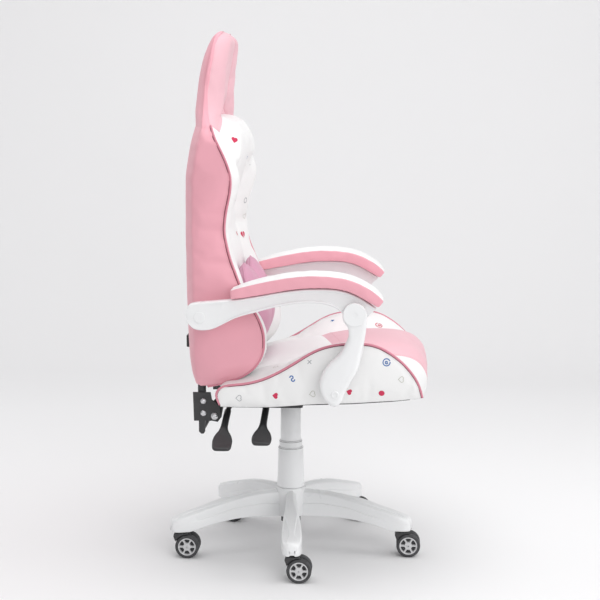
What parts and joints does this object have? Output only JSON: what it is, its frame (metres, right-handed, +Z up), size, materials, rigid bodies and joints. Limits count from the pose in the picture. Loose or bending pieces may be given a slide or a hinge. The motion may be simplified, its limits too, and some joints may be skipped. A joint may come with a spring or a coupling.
{
  "type": "gaming chair",
  "caption": "Racing-style gaming chair with bucket seat, reclining bucket back, linked armrests, telescopic column and five-arm base on twin-wheel casters.",
  "frame": {"origin": "on the floor under the swivel axis", "axes": "+Z up; the sitter faces -Y; -X is the sitter's right-hand side, where the control levers are"},
  "size_m": [0.6752, 0.6419, 1.308],
  "materials": {
    "pink_pu": "pink PU leather, fine grain, satin",
    "white_pu": "white PU leather, fine grain, satin",
    "mauve_pu": "mauve PU leather",
    "black_cloth": "black non-woven cloth",
    "white_plastic": "white moulded nylon, satin gloss",
    "black_plastic": "black moulded plastic",
    "dark_steel": "black powder-coated steel",
    "zinc_steel": "zinc-plated steel",
    "gas_steel": "ground and chromed steel",
    "caster_wheel": "dark soft tread with light grey rims"
  },
  "bodies": {
    "base": {"star_base": "white_plastic", "gas_outer_tube": "dark_steel", "gas_rod": "gas_steel", "cover_lower": "white_plastic"},
    "cover_slide": {"cover_middle": "white_plastic"},
    "lift": {"gas_cylinder": "gas_steel", "cover_upper": "white_plastic"},
    "button": {"release_button": "black_plastic"},
    "seat": {"mechanism_plate": "dark_steel", "mechanism_bolts": "zinc_steel", "seat_frame": "dark_steel", "seat_hinge_brackets": "dark_steel", "seat_dust_cover": "black_cloth", "seat_cushion": "white_pu", "seat_bolster_right": "white_pu", "seat_bolster_left": "white_pu", "upright_pivot_bolts": "zinc_steel"},
    "height_lever": {"height_lever_rod": "dark_steel", "height_lever_paddle": "black_plastic"},
    "recline_lever": {"recline_lever_rod": "dark_steel", "recline_lever_paddle": "black_plastic"},
    "back": {"back_frame": "dark_steel", "back_cushion": "pink_pu", "back_hinge_plates": "dark_steel", "back_bolts": "zinc_steel", "arm_pivot_bolts": "zinc_steel", "lumbar_pillow": "mauve_pu", "lumbar_buckle": "black_plastic"},
    "strut_body": {"strut_cylinder": "dark_steel"},
    "strut_piston": {"strut_rod": "gas_steel"},
    "arm_right": {"arm_beam_right": "white_plastic", "arm_rear_cap_right": "white_plastic", "arm_pad_right": "pink_pu"},
    "upright_right": {"upright_right": "white_plastic", "upright_caps_right": "white_plastic"},
    "arm_left": {"arm_beam_left": "white_plastic", "arm_rear_cap_left": "white_plastic", "arm_pad_left": "pink_pu"},
    "upright_left": {"upright_left": "white_plastic", "upright_caps_left": "white_plastic"},
    "caster_1": {"caster_1_hood": "black_plastic", "caster_1_pins": "zinc_steel"},
    "caster_1_wheel_outer": {"caster_1_wheel_outer": "caster_wheel"},
    "caster_1_wheel_inner": {"caster_1_wheel_inner": "caster_wheel"},
    "caster_2": {"caster_2_hood": "black_plastic", "caster_2_pins": "zinc_steel"},
    "caster_2_wheel_outer": {"caster_2_wheel_outer": "caster_wheel"},
    "caster_2_wheel_inner": {"caster_2_wheel_inner": "caster_wheel"},
    "caster_3": {"caster_3_hood": "black_plastic", "caster_3_pins": "zinc_steel"},
    "caster_3_wheel_outer": {"caster_3_wheel_outer": "caster_wheel"},
    "caster_3_wheel_inner": {"caster_3_wheel_inner": "caster_wheel"},
    "caster_4": {"caster_4_hood": "black_plastic", "caster_4_pins": "zinc_steel"},
    "caster_4_wheel_outer": {"caster_4_wheel_outer": "caster_wheel"},
    "caster_4_wheel_inner": {"caster_4_wheel_inner": "caster_wheel"},
    "caster_5": {"caster_5_hood": "black_plastic", "caster_5_pins": "zinc_steel"},
    "caster_5_wheel_outer": {"caster_5_wheel_outer": "caster_wheel"},
    "caster_5_wheel_inner": {"caster_5_wheel_inner": "caster_wheel"}
  },
  "joints": [
    {"name": "seat_lift", "type": "slide", "parent": "base", "child": "lift", "axis": [0, 0, 1], "range_m": [-0.08, 0.02]},
    {"name": "cover_slide", "type": "slide", "parent": "base", "child": "cover_slide", "axis": [0, 0, 1], "range_m": [-0.0401, 0.0101]},
    {"name": "seat_swivel", "type": "hinge", "parent": "lift", "child": "seat", "pos_m": [0, 0, 0.39], "axis": [0, 0, 1], "continuous": true},
    {"name": "button_press", "type": "slide", "parent": "lift", "child": "button", "axis": [0, 0, -1], "range_m": [0, 0.0045]},
    {"name": "height_lever", "type": "hinge", "parent": "seat", "child": "height_lever", "pos_m": [-0.062, 0.05, 0.392], "axis": [0, 1, 0], "range_deg": [0, 4], "stiffness_Nm_per_rad": 6, "springref_deg": -14.32},
    {"name": "recline_lever", "type": "hinge", "parent": "seat", "child": "recline_lever", "pos_m": [-0.062, 0.143, 0.392], "axis": [0, 1, 0], "range_deg": [0, 4], "stiffness_Nm_per_rad": 6, "springref_deg": -14.32},
    {"name": "back_recline", "type": "hinge", "parent": "seat", "child": "back", "pos_m": [0, 0.173, 0.38], "axis": [-1, 0, 0], "range_deg": [0, 45]},
    {"name": "strut_tilt", "type": "hinge", "parent": "seat", "child": "strut_body", "pos_m": [0.125, -0.06, 0.398], "axis": [-1, 0, 0], "range_deg": [0, 5]},
    {"name": "strut_slide", "type": "slide", "parent": "strut_body", "child": "strut_piston", "axis": [0, -0.9803, 0.1975], "range_m": [0, 0.03]},
    {"name": "arm_right_pivot", "type": "hinge", "parent": "back", "child": "arm_right", "pos_m": [-0.305, 0.193, 0.64], "axis": [-1, 0, 0], "range_deg": [-38.5, 0]},
    {"name": "upright_right_pivot", "type": "hinge", "parent": "seat", "child": "upright_right", "pos_m": [-0.319, -0.125, 0.463], "axis": [-1, 0, 0], "range_deg": [0, 59]},
    {"name": "arm_left_pivot", "type": "hinge", "parent": "back", "child": "arm_left", "pos_m": [0.305, 0.193, 0.64], "axis": [-1, 0, 0], "range_deg": [-38.5, 0]},
    {"name": "upright_left_pivot", "type": "hinge", "parent": "seat", "child": "upright_left", "pos_m": [0.319, -0.125, 0.463], "axis": [-1, 0, 0], "range_deg": [0, 59]},
    {"name": "caster_1_swivel", "type": "hinge", "parent": "base", "child": "caster_1", "pos_m": [-0.29181, -0.02143, 0.08], "axis": [0, 0, 1], "continuous": true},
    {"name": "caster_1_roll_outer", "type": "hinge", "parent": "caster_1", "child": "caster_1_wheel_outer", "pos_m": [-0.30831, -0.03943, 0.03], "axis": [1, 0, 0], "continuous": true},
    {"name": "caster_1_roll_inner", "type": "hinge", "parent": "caster_1", "child": "caster_1_wheel_inner", "pos_m": [-0.27531, -0.03943, 0.03], "axis": [1, 0, 0], "continuous": true},
    {"name": "caster_2_swivel", "type": "hinge", "parent": "base", "child": "caster_2", "pos_m": [-0.06979, -0.28415, 0.08], "axis": [0, 0, 1], "continuous": true},
    {"name": "caster_2_roll_outer", "type": "hinge", "parent": "caster_2", "child": "caster_2_wheel_outer", "pos_m": [-0.08629, -0.30215, 0.03], "axis": [1, 0, 0], "continuous": true},
    {"name": "caster_2_roll_inner", "type": "hinge", "parent": "caster_2", "child": "caster_2_wheel_inner", "pos_m": [-0.0533, -0.30215, 0.03], "axis": [1, 0, 0], "continuous": true},
    {"name": "caster_3_swivel", "type": "hinge", "parent": "base", "child": "caster_3", "pos_m": [0.24868, -0.15419, 0.08], "axis": [0, 0, 1], "continuous": true},
    {"name": "caster_3_roll_outer", "type": "hinge", "parent": "caster_3", "child": "caster_3_wheel_outer", "pos_m": [0.23218, -0.17219, 0.03], "axis": [1, 0, 0], "continuous": true},
    {"name": "caster_3_roll_inner", "type": "hinge", "parent": "caster_3", "child": "caster_3_wheel_inner", "pos_m": [0.26518, -0.17219, 0.03], "axis": [1, 0, 0], "continuous": true},
    {"name": "caster_4_swivel", "type": "hinge", "parent": "base", "child": "caster_4", "pos_m": [0.22349, 0.18886, 0.08], "axis": [0, 0, 1], "continuous": true},
    {"name": "caster_4_roll_outer", "type": "hinge", "parent": "caster_4", "child": "caster_4_wheel_outer", "pos_m": [0.20699, 0.17086, 0.03], "axis": [1, 0, 0], "continuous": true},
    {"name": "caster_4_roll_inner", "type": "hinge", "parent": "caster_4", "child": "caster_4_wheel_inner", "pos_m": [0.23999, 0.17086, 0.03], "axis": [1, 0, 0], "continuous": true},
    {"name": "caster_5_swivel", "type": "hinge", "parent": "base", "child": "caster_5", "pos_m": [-0.11056, 0.27091, 0.08], "axis": [0, 0, 1], "continuous": true},
    {"name": "caster_5_roll_outer", "type": "hinge", "parent": "caster_5", "child": "caster_5_wheel_outer", "pos_m": [-0.12706, 0.25291, 0.03], "axis": [1, 0, 0], "continuous": true},
    {"name": "caster_5_roll_inner", "type": "hinge", "parent": "caster_5", "child": "caster_5_wheel_inner", "pos_m": [-0.09406, 0.25291, 0.03], "axis": [1, 0, 0], "continuous": true}
  ],
  "couplings": [
    {"joint": "cover_slide", "follows": "seat_lift", "ratio": 0.5},
    {"joint": "button_press", "follows": "height_lever", "m_per_rad": 0.062},
    {"joint": "strut_tilt", "follows": "back_recline", "ratio": 0.1},
    {"joint": "strut_slide", "follows": "back_recline", "m_per_rad": 0.0365},
    {"joint": "arm_right_pivot", "follows": "back_recline", "ratio": -0.85},
    {"joint": "upright_right_pivot", "follows": "back_recline", "ratio": 1.3},
    {"joint": "arm_left_pivot", "follows": "back_recline", "ratio": -0.85},
    {"joint": "upright_left_pivot", "follows": "back_recline", "ratio": 1.3}
  ]
}
